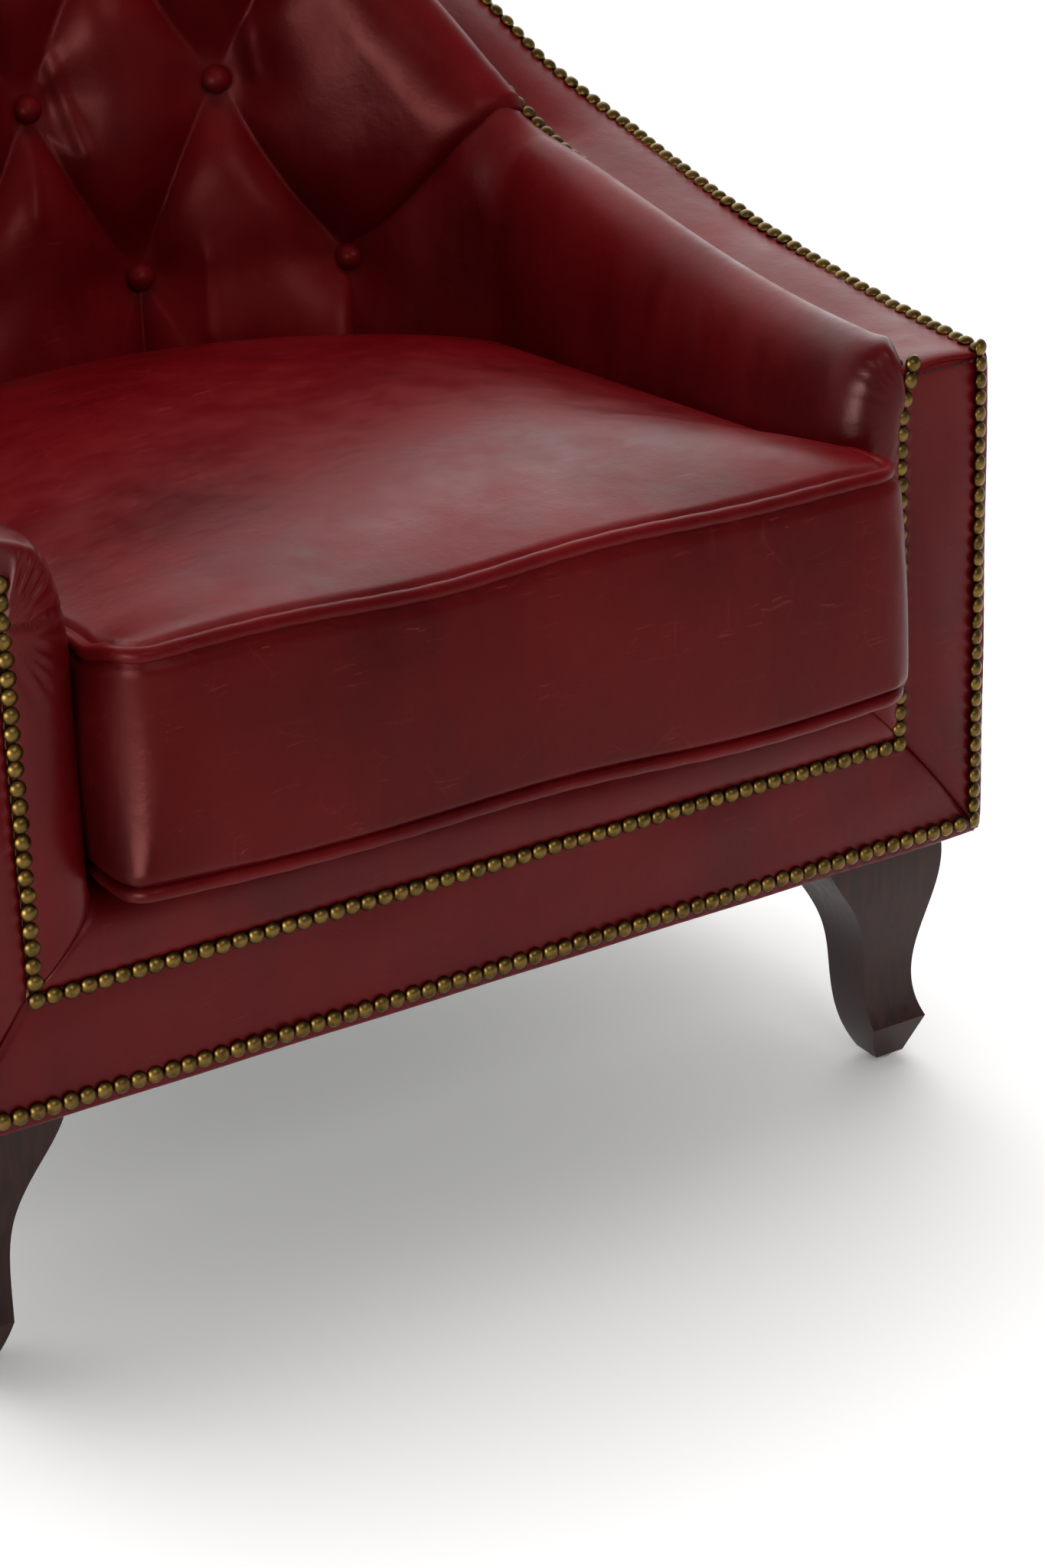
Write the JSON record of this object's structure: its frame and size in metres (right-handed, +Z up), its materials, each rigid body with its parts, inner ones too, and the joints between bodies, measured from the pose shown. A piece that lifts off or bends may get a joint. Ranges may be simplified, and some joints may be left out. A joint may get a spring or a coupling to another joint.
{
  "type": "tufted leather lounge chair",
  "caption": "Barrel-backed tub lounge chair in leather with a diamond-tufted inside back, swooping arms, loose boxed seat cushion and short cabriole front legs.",
  "frame": {"origin": "on the floor, under the centre of the overall box", "axes": "+Z up, +Y to the rear of the chair, +X to the right as seen from the front"},
  "size_m": [0.756, 0.7976, 0.8643],
  "materials": {
    "oxblood_leather": "waxed semi-gloss, slightly mottled",
    "frame_wood": "bare sawn hardwood",
    "leg_wood": "espresso stain, satin",
    "webbing": "woven jute",
    "lining_cloth": "black non-woven",
    "wrapped_foam": "wrapped foam",
    "bolt_steel": "zinc plated",
    "glide_plastic": "matt"
  },
  "bodies": {
    "chair_body": {"seat_deck": "oxblood_leather", "front_roll": "oxblood_leather", "left_inside_arm": "oxblood_leather", "right_inside_arm": "oxblood_leather", "inside_back": "oxblood_leather", "back_buttons": "oxblood_leather", "left_outside_arm": "oxblood_leather", "right_outside_arm": "oxblood_leather", "outside_back": "oxblood_leather", "front_band": "oxblood_leather", "left_arm_band": "oxblood_leather", "right_arm_band": "oxblood_leather", "left_top_band": "oxblood_leather", "right_top_band": "oxblood_leather", "front_rail": "frame_wood", "left_side_rail": "frame_wood", "right_side_rail": "frame_wood", "back_rail": "frame_wood", "left_arm_post": "frame_wood", "right_arm_post": "frame_wood", "left_arm_rail": "frame_wood", "right_arm_rail": "frame_wood", "crest_rail": "frame_wood", "left_back_post": "frame_wood", "right_back_post": "frame_wood", "left_stay_rail": "frame_wood", "right_stay_rail": "frame_wood", "back_stay_rail": "frame_wood", "corner_blocks": "frame_wood", "left_front_leg": "leg_wood", "right_front_leg": "leg_wood", "left_rear_leg": "leg_wood", "right_rear_leg": "leg_wood", "seat_webbing": "webbing", "cross_webbing": "webbing", "back_webbing": "webbing", "dust_cover": "lining_cloth", "leg_bolts": "bolt_steel", "foot_glides": "glide_plastic"},
    "seat_cushion": {"cushion_boxing": "oxblood_leather", "cushion_top_panel": "oxblood_leather", "cushion_bottom_panel": "oxblood_leather", "cushion_top_welt": "oxblood_leather", "cushion_bottom_welt": "oxblood_leather", "cushion_core": "wrapped_foam"}
  },
  "joints": [
    {"name": "cushion_lift", "type": "slide", "parent": "chair_body", "child": "seat_cushion", "axis": [0, 0, 1], "range_m": [0, 0.25]}
  ]
}
